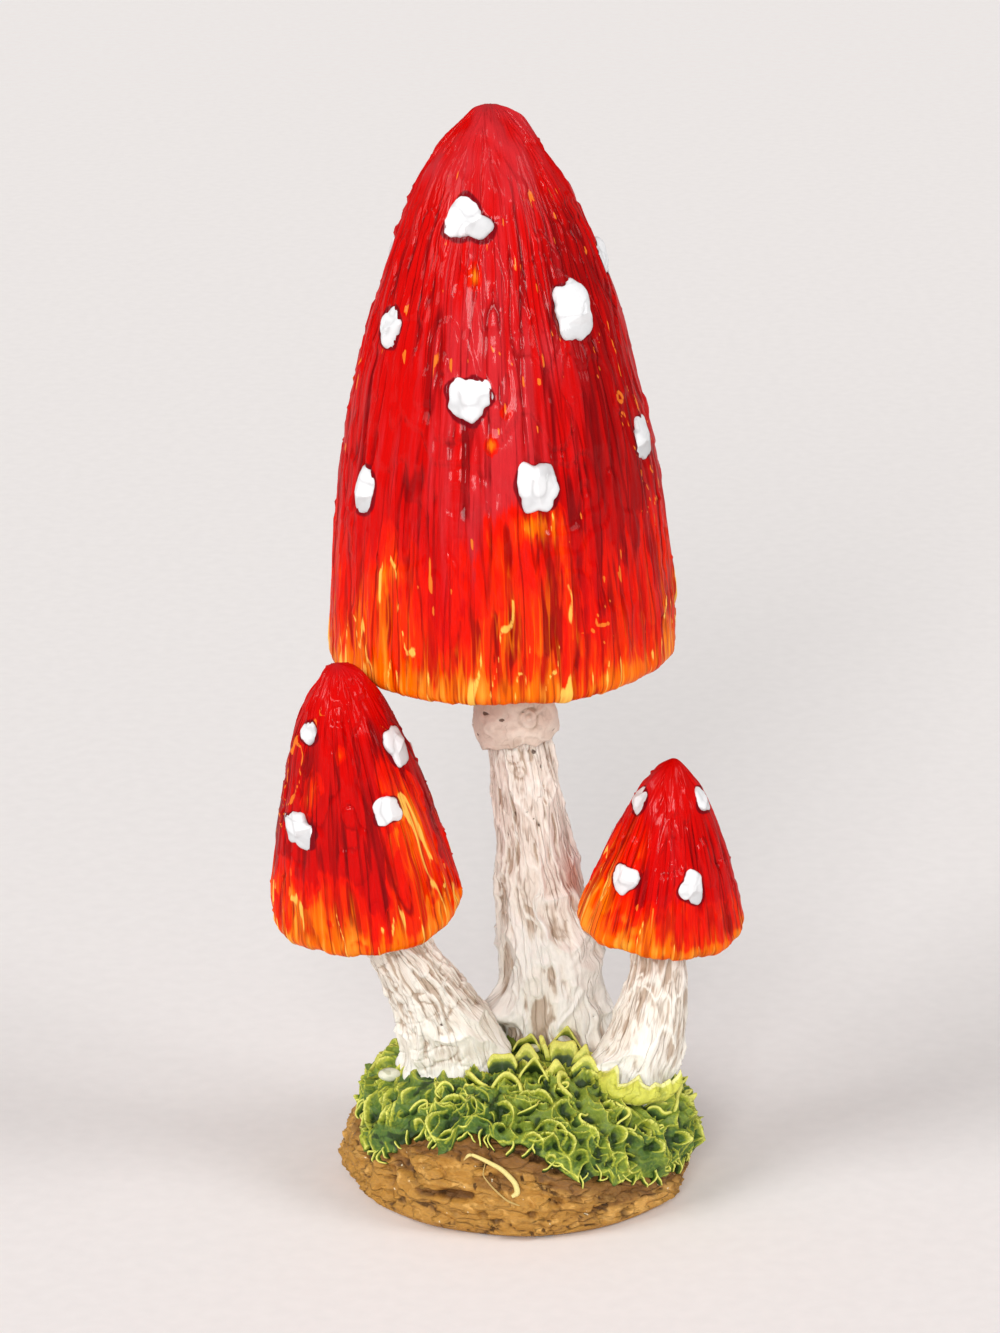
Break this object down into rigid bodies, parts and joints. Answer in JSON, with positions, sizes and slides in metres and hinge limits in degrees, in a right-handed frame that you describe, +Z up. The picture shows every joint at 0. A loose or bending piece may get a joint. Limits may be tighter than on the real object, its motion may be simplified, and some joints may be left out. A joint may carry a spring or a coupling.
{
  "type": "miniature mushroom ornament",
  "caption": "Miniature ornament of tall cone-capped toadstools with warts, standing in a mossy clod of earth; free-standing shelf or garden figurine.",
  "frame": {"origin": "middle of the flat underside, on the surface that the ornament stands on", "axes": "+Z up along the tall toadstool; -Y is the front that the picture shows; +X is to the right in the picture"},
  "size_m": [0.0423, 0.0337, 0.0999],
  "materials": {
    "cap": "cast resin, red with a yellow-orange rim, semi-gloss lacquer",
    "wart": "thick white paint, satin",
    "stem": "cast resin, bone white with a brown wash in the grooves",
    "moss": "cast resin, dark green with lime dry-brushed ridges",
    "leaf": "cast resin, lime green, satin",
    "pebble": "cast resin, pale stone, satin",
    "straw": "cast resin, straw yellow, satin",
    "earth": "cast resin, ochre with a dark brown wash"
  },
  "bodies": {
    "root": {"earth_base": "earth", "moss_blanket": "moss", "tall_stem": "stem", "tall_cap": "cap", "tall_cap_wart_01": "wart", "tall_cap_wart_02": "wart", "tall_cap_wart_03": "wart", "tall_cap_wart_04": "wart", "tall_cap_wart_05": "wart", "tall_cap_wart_06": "wart", "tall_cap_wart_07": "wart", "tall_cap_wart_08": "wart", "tall_cap_wart_09": "wart", "tall_cap_wart_10": "wart", "tall_cap_wart_11": "wart", "tall_cap_wart_12": "wart", "tall_cap_wart_13": "wart", "tall_cap_wart_14": "wart", "tall_cap_wart_15": "wart", "left_stem": "stem", "left_cap": "cap", "left_cap_wart_01": "wart", "left_cap_wart_02": "wart", "left_cap_wart_03": "wart", "left_cap_wart_04": "wart", "left_cap_wart_05": "wart", "left_cap_wart_06": "wart", "left_cap_wart_07": "wart", "right_stem": "stem", "right_cap": "cap", "right_cap_wart_01": "wart", "right_cap_wart_02": "wart", "right_cap_wart_03": "wart", "right_cap_wart_04": "wart", "right_cap_wart_05": "wart", "right_cap_wart_06": "wart", "right_cap_wart_07": "wart", "tall_stem_skirt": "stem", "right_foot_leaf": "leaf", "pebble_01": "pebble", "pebble_02": "pebble", "straw_blade": "straw"}
  },
  "joints": []
}
